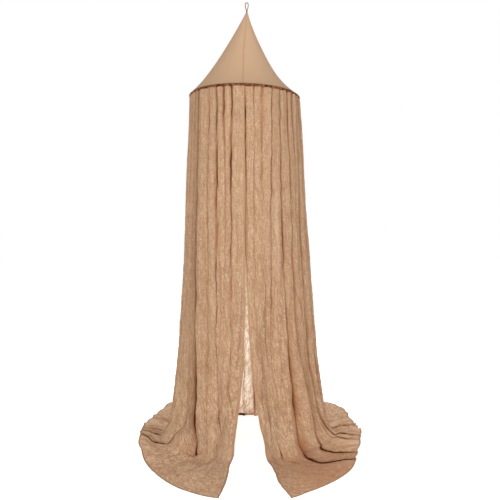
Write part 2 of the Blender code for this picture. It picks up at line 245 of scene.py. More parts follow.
LEFT_EDGE = Fold(0.2, -0.5, 0, 6, 7.4, 8.4, 7.2, 6.6, 6.9)
RIGHT_EDGE = Fold(361.8, 358.7, 355.5, 348, 345.2, 345.2, 346.4, 347.9, 347.6)
LEFT_FOLDS = (
    Fold(12.6, 12.2, 11.9, 14.5, 15.6, 17, 16.5, 15.5, 15, 0.012, 0.01, 0.002, 0.003),
    Fold(21, 18, 18, 17, 18, 20, 20.7, 20.2, 20, 0.011, 0.002, 0),
    Fold(28.5, 26, 23.6, 19.5, 20.5, 22.5, 24.2, 25.6, 26, 0.012, 0.01, 0.004, 0.003),
    Fold(38, 34.8, 32.3, 29, 27.5, 28, 30, 31.8, 33, 0.009, 0.006, 0.003, 0.004),
    Fold(53, 50, 45.8, 41, 35, 33.6, 35.5, 39, 41, 0.01, 0.014, 0.026, 0.003, 0.004),
    Fold(60, 57, 55, 49, 61, 70.2, 77.5, 90, 97, 0.009, 0.003, 0.002, 0, 0),
    Fold(68, 66.5, 66, 73, 79, 85.5, 91, 97, 101, 0.011, 0.008, 0.002, 0.003, 0.02, 1, 0.014),
    Fold(76, 76, 76, 80, 85, 92, 97, 101.5, 104, 0.01, 0.006, 0.004, 0.003, 0.01, 1, 0.006),
    Fold(86, 86, 85, 87.5, 91, 97.2, 101.5, 105, 107.5, 0.012, 0.012, 0.006, 0.003, 0.009, 0, 0.003),
    Fold(95.5, 95, 95, 95.5, 97.5, 101.8, 105.8, 109.2, 111, 0.011, 0.009, 0.01, 0, 0.012),
)
RIGHT_FOLDS = (
    Fold(266, 265, 264, 260, 258, 255, 252.5, 250, 248.5, 0.012, 0.01, 0.01, 0, 0.012),
    Fold(275, 275, 273.5, 269, 265.5, 261.5, 259, 257, 255, 0.011, 0.012, 0.01, 0.003, 0.012, 0, 0.002),
    Fold(284, 286, 284.5, 279, 275, 272, 270.5, 268, 265, 0.012, 0.01, 0.02, 0, 0.01, 0, 0.052),
    Fold(294, 298, 297.5, 292, 286, 282, 280.5, 277.5, 273, 0.01, 0.014, 0.03, 0, 0.012, 1, 0.04),
    Fold(303, 304.5, 303, 298, 293.5, 290, 288, 284, 279, 0.011, 0.003, 0.002, 0, 0.01, 1, 0.032),
    Fold(311.5, 312, 309, 303.5, 305.5, 309, 308, 303, 297, 0.01, 0.01, 0.001, 0, 0.02, 1, 0.016),
    Fold(322.5, 323.5, 322, 319.5, 319.8, 320.8, 320, 311, 304, 0.013, 0.015, 0.03, 0.006, 0.022, 1),
    Fold(331.5, 336.3, 337, 335, 334.3, 333, 331, 326, 321, 0.011, 0.008, 0.001, 0.003),
    Fold(342, 344, 344, 341, 340.5, 339.5, 338.5, 335.5, 333, 0.012, 0.002, 0.003),
    Fold(351, 351.2, 348.8, 344, 342, 342, 342.5, 343, 342, 0.009, 0.004, 0.001, 0.003),
)


def back_folds():
    """The folds of the back, evenly gathered and a little irregular, with low waves on the floor. Near
    the sides they are drawn round towards the back."""
    step = (BACK_TO - BACK_FROM) / (BACK_FOLDS - 1)
    folds = []
    for i in range(BACK_FOLDS):
        ring = BACK_FROM + i * step + 1.2 * math.sin(2.3 * i)
        stray = 1.6 * math.sin(1.3 * i + 0.8)
        drawn = 11.0 * max(0.0, 1 - i / 5) - 8.0 * max(0.0, (i - 8) / (BACK_FOLDS - 9))
        azimuths = [ring + more * stray + share * drawn for more, share in zip(BACK_STRAY, BACK_DRAWN)]
        cut_ring = 0.0115 + 0.001 * math.sin(3.1 * i)
        cut_waist = 0.013 + 0.005 * math.sin(2.1 * i + 1.0)
        cut_ankle = 0.015 + 0.008 * math.sin(1.7 * i + 0.4)
        lap = 0.004 * math.sin(2.6 * i)
        ridge = 0.012 + 0.004 * math.sin(2.9 * i + 2.0)
        folds.append(Fold(*azimuths, cut_ring, cut_waist, cut_ankle, lap, ridge))
    return folds


FOLDS = (LEFT_EDGE, *LEFT_FOLDS, *back_folds(), *RIGHT_FOLDS, RIGHT_EDGE)


class Panel(NamedTuple):
    """One panel of gauze: the creases it lies between, and its flat width, length and area."""

    name: str
    first: int
    last: int
    wide: float
    long: float
    area: float


PANELS = (
    Panel("left_front_panel", 0, 5, 0.45, 1.90, 0.65),
    Panel("left_side_panel", 5, 11, 0.80, 1.85, 0.82),
    Panel("back_left_panel", 11, 18, 0.93, 1.95, 1.18),
    Panel("back_right_panel", 18, 25, 1.03, 1.95, 1.28),
    Panel("right_side_panel", 25, 31, 0.70, 1.80, 0.78),
    Panel("right_front_panel", 31, 36, 0.68, 1.95, 0.70),
)


class Tuck(NamedTuple):
    """A short crease across or between the folds: the azimuths along it, how far each lies down the cloth
    from the wall's foot, and on the cloth's inner side its depth and width and how much the cloth puffs up
    along its left side."""

    azimuths: tuple
    places: tuple
    depth: float
    width: float = 0.0035
    lip: float = 0.0


TUCKS = (
    # beside the front edge, and the creases between the folds further down
    Tuck((1.9, 3.3, 6.9), (-0.75, -0.53, -0.35), 0.007),
    Tuck((14.2, 11.7, 9), (-0.3, -0.24, -0.16), 0.006),
    Tuck((22, 19.5, 17), (-0.26, -0.16, -0.09), 0.007),
    Tuck((320.7, 313, 305.6), (-0.83, -0.72, -0.6), 0.004),
    Tuck((48, 47.5), (-1.5, -1.25), 0.007),
    Tuck((350.9, 350.3), (-1.38, -1.28), 0.004),
    Tuck((327, 326, 328.5), (-1.05, -0.85, -0.7), 0.006),
    Tuck((341, 342.5, 340.5), (-0.72, -0.55, -0.38), 0.007),
    Tuck((347.5, 345, 346.5), (-0.5, -0.36, -0.22), 0.007),
    Tuck((331.5, 329.5, 331), (-0.55, -0.38, -0.26), 0.006),
    Tuck((38.5, 37, 38), (-0.95, -0.8, -0.62), 0.005),
    Tuck((8, 6, 8.5), (-1, -0.85, -0.66), 0.005),
    Tuck((21.5, 20, 20.5), (-0.8, -0.62, -0.45), 0.005),
    Tuck((306.5, 305), (-0.66, -0.56), 0.005),
    # at the wall's foot and on the train
    Tuck((40.8, 34.1, 30.5), (0.002, 0.02, -0.015), 0.007, 0.0045, 0.008),
    Tuck((335.8, 335.1, 336.4), (-0.06, -0.01, 0.05), 0.008),
    Tuck((333, 330.5), (0.05, 0.085), 0.006, 0.004),
    Tuck((43, 39.5), (0.075, 0.095), 0.005, 0.004),
    Tuck((20, 26, 31), (0.05, 0.085, 0.075), 0.005, 0.004),
)


def through(x, at, values):
    """A smooth curve through the values given at the places at, read at x. Its pieces are cubic and never
    swing past the values: a place's slope is the harmonic mean of the slopes on its two sides, or level
    where they differ in sign. values may have more columns."""
    at = np.asarray(at, float)
    values = np.asarray(values, float)
    steps = np.diff(values, axis=0) / np.diff(at).reshape(-1, *[1] * (values.ndim - 1))
    before, after = steps[:-1], steps[1:]
    same = before * after > 0
    middle = np.where(same, 2 * before * after / np.where(same, before + after, 1), 0)
    slopes = np.concatenate([steps[:1], middle, steps[-1:]])
    i = np.clip(np.searchsorted(at, x, side="right") - 1, 0, len(at) - 2)
    width = at[i + 1] - at[i]
    f = np.clip((x - at[i]) / width, 0, 1)
    if values.ndim > 1:
        f, width = f[..., None], width[..., None]
    return (
        (2 * f**3 - 3 * f**2 + 1) * values[i]
        + (f**3 - 2 * f**2 + f) * width * slopes[i]
        + (3 * f**2 - 2 * f**3) * values[i + 1]
        + (f**3 - f**2) * width * slopes[i + 1]
    )


def ease(x):
    """From 0 to 1 as x goes from 0 to 1, level at both ends."""
    x = np.clip(x, 0, 1)
    return x * x * (3 - 2 * x)


def near(x, at, reach, power=2):
    """From 1 where x is at a place down to 0 well beyond its reach: exp(-(distance / reach) ** power)."""
    return np.exp(-(((x - at) / reach) ** power))


def tilted(x, z):
    """The height of a point once the hoop's tilt has moved it; the floor stays level."""
    return z - x * math.tan(HOOP_TILT) * np.clip(z / HOOP_HEIGHT, 0, 1)


def unit(v):
    """The vectors scaled to a length of one."""
    return v / np.maximum(np.linalg.norm(v, axis=-1, keepdims=True), 1e-12)


def rumple(u, v, wide, long, seed):
    """Smooth noise from about -1 to 1 over the cloth: each corner of a lattice with cells wide across and
    long down has a slope in a random direction, and the slopes' planes are eased into each other."""
    turn = np.random.default_rng(seed).uniform(0, 2 * math.pi, (LATTICE, LATTICE))
    x, y = u / wide, v / long
    i, j = np.floor(x).astype(int), np.floor(y).astype(int)
    fx, fy = x - i, y - j
    ex, ey = fx**3 * (fx * (6 * fx - 15) + 10), fy**3 * (fy * (6 * fy - 15) + 10)

    def corner(di, dj):
        angle = turn[(i + di) % LATTICE, (j + dj) % LATTICE]
        return np.cos(angle) * (fx - di) + np.sin(angle) * (fy - dj)

    top = corner(0, 0) * (1 - ex) + corner(1, 0) * ex
    low = corner(0, 1) * (1 - ex) + corner(1, 1) * ex
    return 1.4 * (top * (1 - ey) + low * ey)


def pinched(u, v, wide, long, seed):
    """Round puffs between sharp valleys, from 0 in the valleys to about 1: the size of smooth noise."""
    return 1.6 * np.abs(rumple(u, v, wide, long, seed))


def valleys(u, v, wide, long, seed):
    """Thin valley lines over the cloth, 1 at their bottom: where smooth noise passes through nought."""
    return near(rumple(u, v, wide, long, seed), 0, VALLEY_WIDTH)


def panel_columns(first, last):
    """For each column of a panel: the fold it lies in, and its share of the way across. A wide fold has
    more columns, and they stand closer near its two creases."""
    fold, share = [], []
    for i in range(first, last):
        at_ring = (FOLDS[i + 1].ring - FOLDS[i].ring) * HOOP_RADIUS
        at_hem = (FOLDS[i + 1].hem - FOLDS[i].hem) * HEM_RADIUS
        width = math.radians(max(at_ring, at_hem))
        count = max(FEWEST_COLUMNS, round(width / COLUMN_WIDTH))
        even = np.arange(count) / count
        share += list(even - CROWDING * np.sin(2 * math.pi * even) / (2 * math.pi))
        fold += [i] * count
    return np.array(fold + [last - 1]), np.array(share + [1.0])


def fold_lines(t):
    """The creases at rows t: each one's azimuth and how deep it is cut, both straying a little."""
    places = np.array([f[: len(STATIONS)] for f in FOLDS]).T
    azimuth = through(t[:, 0], STATIONS, places)
    apart = np.arange(len(FOLDS))[None, :] * 7.31 + 0 * t
    down = t + 0 * apart
    stray = 1.0 * rumple(apart, down, 1.0, 0.09, 11) + 0.6 * rumple(apart, down, 1.0, 0.028, 12)
    inside = np.where((apart == 0) | (apart == apart.max()), 0.4, 1.0)
    azimuth = azimuth + stray * inside * ease(t / 0.05) * (1 - 0.75 * ease((t - 0.95) / 0.1))
    cuts = np.array([(f.cut_ring, f.cut_waist, f.cut_ankle, 0) for f in FOLDS]).T
    cut = through(t[:, 0], CUT_STATIONS, cuts).clip(0, None)
    uneven = 1 + 0.6 * rumple(apart, down, 1.0, 0.06, 13) + 0.5 * rumple(apart, down, 1.0, 0.17, 15)
    return azimuth, cut * uneven.clip(0.1, None)


def wall_creases(fold, share, width, cut, height):
    """Each crease bites into the wall, wide and soft with a narrow groove in its middle. Where a fold laps
    over a crease, its own side of it is steep, and it bulges over the groove. The results are the bite's
    depth, that of its groove, and how far the cloth goes sideways."""
    forward = np.array([1 if f.ring < 180 else -1 for f in FOLDS])  # 1 where the front is at lower azimuths
    lap = np.array([f.lap for f in FOLDS]) * forward * np.clip(cut / FULL_CUT, 0, 1)
    groove_width = GROOVE_WIDTH * (0.5 + cut / FULL_CUT)
    soft = groove = sideways = 0
    for crease, off, way in ((fold, share, -1), (fold + 1, 1 - share, 1)):
        over = (way * lap[:, crease]).clip(0, None)
        beneath = np.clip(-way * lap[:, crease] / FULL_LAP, 0, 1)
        sharpness = CREASE_SHARPNESS + 4 * np.clip(over / FULL_LAP, 0, 1) - 0.7 * beneath
        reach = off * width
        soft = soft + cut[:, crease] * np.clip(1 - off / (CREASE_REACH + 0.3 * beneath), 0, 1) ** sharpness
        groove = groove + cut[:, crease] * near(reach, 0, groove_width[:, crease])
        sideways = sideways + way * over * (reach / LIP_AT * np.exp(1 - reach / LIP_AT))
    bite = (1 - GROOVE_SHARE) * soft + GROOVE_SHARE * groove
    deepest = HEADING_DEPTH + (DEEPEST_CUT - HEADING_DEPTH) * ease((HOOP_HEIGHT - height) / HEADING_FALL)
    return np.minimum(bite, deepest), groove, sideways


def floor_folds(fold, share, width, a, ridges, levels, rolls):
    """Folds on the floor: a plain one is a low wave. A rolled one goes up round a half circle at its front
    crease, so that it overhangs, and falls away towards its back crease. The results are their height, how
    far a roll carries the cloth sideways, and the shade under a fold's own roll and under the next one's."""
    right = a > 180
    reach_first, reach_next = share * width, (1 - share) * width
    reach = np.where(right, reach_next, reach_first)
    ridge, rolled = ridges[:, fold + 1], rolls[fold + 1]
    front = np.where(right, levels[:, fold + 1], levels[:, fold])
    back = np.where(right, levels[:, fold], levels[:, fold + 1])
    roll = np.minimum(ridge / 2, width / 5)
    arc = np.maximum(math.pi * roll, 1e-6)
    turned = np.clip(reach / arc, 0, 1)
    beyond = np.clip((reach - arc) / (width - arc), 0, 1)
    top = front + 2 * roll
    up = front + roll * (1 - np.cos(math.pi * turned))
    rolled_height = np.where(reach < arc, up, back + (top - back) * np.cos(math.pi / 2 * beyond))
    rolled_reach = np.where(reach < arc, -roll * np.sin(math.pi * turned), beyond * width)
    plain = front + (back - front) * ease(reach / width) + ridge * np.sin(math.pi * share)
    swell = (1 - rolled) * plain + rolled * rolled_height
    sideways = rolled * (reach - rolled_reach) * np.where(right, 1, -1)

    own = rolled * np.clip(ridge / 0.012, 0, 1) * near(reach, 0, 0.007)
    behind = np.where(right, fold, fold + 2).clip(0, len(FOLDS) - 1)
    back_ridge = np.take_along_axis(ridges * rolls, behind, axis=1)
    from_back = np.where(right, reach_first, reach_next)
    under = np.clip(back_ridge / 0.015, 0, 1) * near(from_back, 0, 0.55 * back_ridge + 0.001, 4)
    return swell, sideways, own, under


def curtain_shades(t, a, height, on_floor, bite, groove, own, under, edge_line):
    """Where the curtain is darker, each from 0 to 1: at the bottom of a crease, in the corner inside the
    back's foot, and deep between the folds, on the front flaps and beside two creases on the right. The
    creases of the strip that is seen against the light are paler."""
    low = ease((t - SWELL_FROM) / 0.13)
    standing = 1 - ease((on_floor - 0.35) / 0.6)
    crease = np.clip((groove / FULL_GROOVE + edge_line) * standing + (own + under) * low, 0, 1)
    crease = crease * (1 - 0.5 * near(a, BACK, 24) * ease((t - 0.3) / 0.5))
    corner = ease((CORNER_SHADE_HEIGHT - height) / 0.010) * near(a, 181, 10, 4)
    corner = corner * (0.62 + 0.33 * ease((182 - a) / 3)) * ease((1.1 - t) / 0.08)
    flap = sum(strength * near(a, at, reach) for at, reach, strength in FLAP_SHADES) * on_floor
    lee = sum(strength * near(a, at, reach, power) for at, reach, strength, power in LEE_SHADES)
    lee = lee * ease((t - 0.62) / 0.25) * standing
    bitten = np.clip(bite / FULL_BITE, 0, 1) ** 1.6 * standing
    depth = bitten + 0.6 * np.clip(under, 0, 1) * low + flap + lee
    return crease, corner, depth


def curtain_surface(t, fold, share):
    """The bare folded curtain at rows t and columns fold and share, from t = 0 at the hoop past 1 at the
    floor to 2 at the hem. With the points come its three shades, how much of it lies on the floor, its
    azimuth, and its distance down the cloth from the wall's foot."""
    t = t[:, None]
    azimuth, cut = fold_lines(t)
    rising = ease((t - SWELL_FROM) / SWELL_WITHIN) * (1 - HEM_FLATNESS * ease((t - 1.25) / 0.75))
    ridges = np.array([f.ridge for f in FOLDS]) * rising
    levels = np.array([f.level for f in FOLDS]) * rising
    rolls = np.array([f.rolled for f in FOLDS])
    across = azimuth[:, fold + 1] - azimuth[:, fold]
    a = azimuth[:, fold] + share * across
    outline = through(a, [s.azimuth for s in SECTIONS], [s[1:] for s in SECTIONS])
    landing, hem, belly, slump = np.moveaxis(outline, -1, 0)

    # Along the cloth: s is below 0 on the wall and above it on the floor.
    hem = hem + SCALLOP * ridges[:, fold + 1] * (1 - 0.6 * rolls[fold + 1]) * np.sin(math.pi * share) ** 2
    s = np.where(t < 1, (t - 1) * HOOP_HEIGHT, (t - 1) * (hem - landing))
    bend = BEND + sum(more * near(a, at, reach) for at, reach, more in SIDE_BENDS)
    height = bend * np.logaddexp(0, -s / bend)
    run = bend * np.logaddexp(0, s / bend)
    on_floor = 1 / (1 + np.exp(-s / bend))

    fall = 1 - height / HOOP_HEIGHT
    spread = EVEN_SPREAD * fall + (1 - EVEN_SPREAD) * fall**LATE_SPREAD
    radius = HEADING_RADIUS + (landing - HEADING_RADIUS) * spread + run
    radius = radius + 6.75 * belly * fall**2 * (1 - fall)  # greatest a third of the way up
    radius = radius + slump * near(height, LIP_HEIGHT, LIP_REACH)

    width = np.radians(across) * radius
    bite, groove, lapped = wall_creases(fold, share, width, cut, height)
    swell, carried, own, under = floor_folds(fold, share, width, a, ridges, levels, rolls)
    radius = radius + (1 - on_floor) * (0.5 * swell - bite)
    height = height + on_floor * swell + LIFT
    a = a + np.degrees((lapped * (1 - on_floor) + carried) / radius)

    # Above the parting the right edge hangs behind the left one, and a groove with painted shadow in it shows
    # where they meet.
    closed = 1 - ease((t - PARTING) / (PARTED - PARTING))
    radius = radius - EDGE_LAP * ease((a - LAP_FROM) / LAP_WITHIN) * closed
    edge_line = near(a - 360 - azimuth[:, :1], -EDGE_LINE, EDGE_LINE) * ease((1.04 * PARTED - t) / 0.05)
    edge_line = edge_line * (0.75 + 0.5 * rumple(0 * a, t + 0 * a, 1.0, 0.05, 14)) * ease(t / 0.03)
    radius = radius - EDGE_GROOVE * edge_line

    angle = np.radians(a)
    x, y = -radius * np.sin(angle), -radius * np.cos(angle)
    height = np.where(t == 0, HOOP_HEIGHT - ROLL_RADIUS - LIFT, height)
    points = np.stack([x, y, tilted(x, height)], axis=-1)
    shades = curtain_shades(t, a, height, on_floor, bite, groove, own, under, edge_line)
    return points, shades, on_floor, a, s


def lengths(points, axis):
    """How far along the grid each point is, added up step by step along an axis."""
    steps = np.linalg.norm(np.diff(points, axis=axis), axis=-1)
    pad = [(0, 0), (0, 0)]
    pad[axis] = (1, 0)
    return np.cumsum(np.pad(steps, pad), axis=axis)


def normals(points):
    """The normals of the curtain's grid, whose rows go down and columns towards the left: they point
    inwards from the wall and down from the train."""
    down = np.gradient(points, axis=0)
    along = np.gradient(points, axis=1)
    return unit(np.cross(down, along))


def tucked(points, crease, a, s):
    """The curtain with its short creases. On its inner side each is a groove along a curved line over the
    cloth, with a puff along its left side, both fading out at its two ends, and outside a thin ridge beside
    a hollow."""
    over = np.radians(a) * TUCK_RADIUS
    pushed = np.zeros_like(crease)
    for tuck in TUCKS:
        line = np.linspace(0, len(tuck.places) - 1, TUCK_STEPS)
        along = np.arange(len(tuck.places))
        lx = np.radians(through(line, along, tuck.azimuths)) * TUCK_RADIUS
        ly = through(line, along, tuck.places)
        reach = 6 * tuck.width
        beside = (over > lx.min() - reach) & (over < lx.max() + reach)
        beside = beside & (s > ly.min() - reach) & (s < ly.max() + reach)
        dx, dy = over[beside][:, None] - lx, s[beside][:, None] - ly
        nearest = np.argmin(dx**2 + dy**2, axis=1)
        row = np.arange(len(nearest))
        far = np.hypot(dx[row, nearest], dy[row, nearest])
        gx, gy = np.gradient(lx)[nearest], np.gradient(ly)[nearest]
        left = np.sign(gx * dy[row, nearest] - gy * dx[row, nearest])
        fade = np.sin(math.pi * np.clip(0.06 + 0.88 * nearest / (TUCK_STEPS - 1), 0, 1)) ** 0.6
        groove = near(far, 0, tuck.width) * fade
        puff = near(far * left, 2.2 * tuck.width, 1.8 * tuck.width) * fade
        pushed[beside] += tuck.lip * puff - tuck.depth * groove
        # Painted shade along the tuck's groove, darker the deeper it is.
        crease[beside] = np.maximum(crease[beside], groove * min(1.0, tuck.depth / FULL_TUCK))
    points = points + normals(points) * pushed[..., None]
    points[..., 2] = np.maximum(points[..., 2], LIFT)
    return points, crease


def crinkled(points, crease, on_floor, a, t, u, v, free):
    """The folded curtain with the gauze's own crinkles raised on its inner side: broad soft waves and long
    streaks down the wall, slanting scales above its foot, and rounder puffs on the floor, all fading into
    creases and towards the free edges, free away. Outside, their thin valleys stand out as fine lines.
    The results are the points and the crinkles' tone: 0 along those lines, 1 between them. The gauze paints
    this tone as shade along the lines and as highlight between them."""
    height = points[..., 2]
    lower = ease((1.35 - height) / 0.9)
    front_right = near(a, 338, 18)
    patchy = 0.85 + 0.3 * rumple(u, v, 0.09, 0.30, 29)
    loose = 0.3 + 0.5 * on_floor
    u = u + loose * (0.014 * rumple(u, v, 0.07, 0.16, 21) + 0.005 * rumple(u, v, 0.025, 0.05, 22))
    v = v + loose * 0.020 * rumple(u, v, 0.05, 0.12, 28)
    su = u * math.cos(SLANT) + v * math.sin(SLANT)
    sv = v * math.cos(SLANT) - u * math.sin(SLANT)
    near_foot = near(height, 0.13, 0.14)
    strong = (0.50 + 0.50 * lower * (1 + 0.6 * front_right)) * patchy

    streaks = pinched(u, v, 0.026, 0.26, 24)
    shifted = v + 0.05 * rumple(u, v, 0.04, 0.40, 38)
    threads = 0.4 - 0.9 * valleys(u, shifted, 0.011, 0.14, 25) - 0.9 * valleys(su, shifted, 0.0085, 0.060, 34)
    threads = threads + near(a, BACK, 20) * (0.4 - 1.3 * valleys(su, v, 0.016, 0.060, 37))
    scales = 0.4 - 1.2 * valleys(su, sv, 0.011, 0.060, 30)
    wall = WAVES * rumple(u, v, 0.055, 0.40, 23) + STREAKS * streaks * strong
    wall = wall + THREADS * threads * strong + SCALES * near_foot * scales * patchy
    puffs = pinched(u, v, 0.034, 0.075, 26)
    pleated = ease((np.abs(a - 182) - 45) / 20) * ease((125 - np.abs(a - 182)) / 20)
    grains = 0.5 - 1.1 * valleys(su, sv, 0.014, 0.090, 27) - 0.7 * valleys(u, v, 0.010, 0.050, 35)
    grains = grains * (1 - pleated) + pleated * (0.5 - 1.4 * valleys(u, v, 0.030, 0.30, 36))
    lying = (PUFFS * puffs + GRAINS * grains) * patchy
    raised = (wall * (1 - on_floor) + lying * on_floor) * (0.35 + 0.65 * ease(free / 0.025))
    gathers = GATHERS * rumple(u, v, 0.0055, 0.05, 33) * np.exp((height - HOOP_HEIGHT) / 0.03)
    raised = (raised + gathers) * (1 - 0.8 * crease) * ease(t / 0.02)[:, None]
    points = points + normals(points) * raised[..., None]
    points[..., 2] = np.maximum(points[..., 2], CLEAR)

    tone = (threads - 0.5 * near(streaks, 0, 0.15)) * strong + near_foot * scales * patchy
    on_train = (grains - 0.3 * near(puffs, 0, 0.15)) * patchy
    return points, np.clip(0.5 + 0.5 * (tone * (1 - on_floor) + on_train * on_floor), 0, 1)


def hung(points):
    """From above the floor round the hoop's centre to where the loop hangs."""
    return points + np.array([-APEX_LEAN, 0.0, FLOOR])


def grid_mesh(name, points, maps, attributes, material, once_round=None):
    """A piece through a grid of points. Its faces point outwards where rows go down and columns to the
    right. maps are the two coordinates of its UV map, and attributes are numbers at its points. A grid
    whose rows close gives how far the coordinates go once round."""
    rows, columns = points.shape[:2]
    index = np.arange(rows * columns).reshape(rows, columns)
    if once_round:
        index = np.concatenate([index, index[:, :1]], axis=1)
        maps = [np.concatenate([m, m[:, :1] + step], axis=1) for m, step in zip(maps, once_round)]
    quads = np.stack([index[:-1, :-1], index[1:, :-1], index[1:, 1:], index[:-1, 1:]], axis=-1).reshape(-1, 4)
    corners = [np.stack([m[:-1, :-1], m[1:, :-1], m[1:, 1:], m[:-1, 1:]], axis=-1).ravel() for m in maps]
    data = bpy.data.meshes.new(name)
    data.vertices.add(rows * columns)
    data.vertices.foreach_set("co", points.astype(np.float32).ravel())
    data.loops.add(quads.size)
    data.loops.foreach_set("vertex_index", quads.astype(np.int32).ravel())
    data.polygons.add(len(quads))
    data.polygons.foreach_set("loop_start", np.arange(0, quads.size, 4, dtype=np.int32))
    data.update(calc_edges=True)
    layer = data.uv_layers.new(name="cloth")
    layer.data.foreach_set("uv", np.stack(corners, axis=-1).astype(np.float32).ravel())
    for key, values in attributes.items():
        made = data.attributes.new(key, "FLOAT", "POINT")
        made.data.foreach_set("value", values.astype(np.float32).ravel())
    data.materials.append(material)
    data.shade_smooth()
    piece = bpy.data.objects.new(name, data)
    bpy.context.scene.collection.objects.link(piece)
    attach(piece, "root")
    return piece


# ---------------------------------------------------------------- materials


class Nodes:
    """The nodes of a material or world, made one after another."""

    def __init__(self, owner):
        owner.use_nodes = True
        self.owner = owner
        self.tree = owner.node_tree
        self.tree.nodes.clear()

    def add(self, kind, inputs=(), **settings):
        """A node with its settings, and its inputs linked to a socket or set to a value."""
        node = self.tree.nodes.new(kind)
        for key, value in settings.items():
            setattr(node, key, value)
        for key, value in dict(inputs).items():
            if isinstance(value, bpy.types.NodeSocket):
                self.tree.links.new(value, node.inputs[key])
            else:
                node.inputs[key].default_value = value
        return node

    def uv(self):
        return self.add("ShaderNodeUVMap", uv_map="cloth").outputs[0]

    def mark(self, name):
        """The number at each point that the mesh carries under a name."""
        return self.add("ShaderNodeAttribute", attribute_name=name).outputs[2]

    def math(self, operation, a, b=None, c=None, clamp=False):
        values = {i: x for i, x in enumerate((a, b, c)) if x is not None}
        return self.add("ShaderNodeMath", values, operation=operation, use_clamp=clamp).outputs[0]

    def mix(self, factor, a, b):
        return self.add("ShaderNodeMix", {0: factor, 6: a, 7: b}, data_type="RGBA").outputs[2]

    def noise(self, vector, scale, detail=2.0, roughness=0.5, distortion=0.0):
        """Noise with a scale along each axis."""
        vector = self.add("ShaderNodeMapping", {"Vector": vector, "Scale": scale}).outputs[0]
        inputs = {"Vector": vector, "Scale": 1.0, "Detail": detail}
        inputs.update({"Roughness": roughness, "Distortion": distortion})
        return self.add("ShaderNodeTexNoise", inputs).outputs[0]

    def woven(self, uv, pitch):
        """The height of a plain weave, its threads pitch apart, each over and under the next: the sine
        across the threads one way times the sine the other way."""
        scale = (2 * math.pi / pitch,) * 3
        across = self.add("ShaderNodeMapping", {"Vector": uv, "Scale": scale}).outputs[0]
        axes = self.add("ShaderNodeSeparateXYZ", {"Vector": across})
        return self.math("MULTIPLY", self.math("SINE", axes.outputs[0]), self.math("SINE", axes.outputs[1]))

    def bump(self, height, strength, distance, normal=None):
        inputs = {"Height": height, "Strength": strength, "Distance": distance}
        if normal is not None:
            inputs["Normal"] = normal
        return self.add("ShaderNodeBump", inputs).outputs[0]

    def surface(self, colour, roughness, **inputs):
        """A plain surface; its other inputs are named with _ for a space."""
        named = {key.replace("_", " "): value for key, value in inputs.items()}
        named.update({"Base Color": colour, "Roughness": roughness})
        return self.add("ShaderNodeBsdfPrincipled", named).outputs[0]

    def cloth(self, colour, bumped, through_share, roughness, gloss, sheen):
        """Matt cloth that lets a share of the light through."""
        face = self.surface(colour, roughness, Specular_IOR_Level=gloss, Sheen_Weight=sheen, Normal=bumped)
        glow = self.add("ShaderNodeBsdfTranslucent", {"Color": colour, "Normal": bumped}).outputs[0]
        return self.add("ShaderNodeMixShader", {0: through_share, 1: face, 2: glow}).outputs[0]

    def finish(self, shader):
        self.add("ShaderNodeOutputMaterial", {"Surface": shader})
        return self.owner


def new_material(name):
    """The nodes of a new material."""
    return Nodes(bpy.data.materials.new(name))


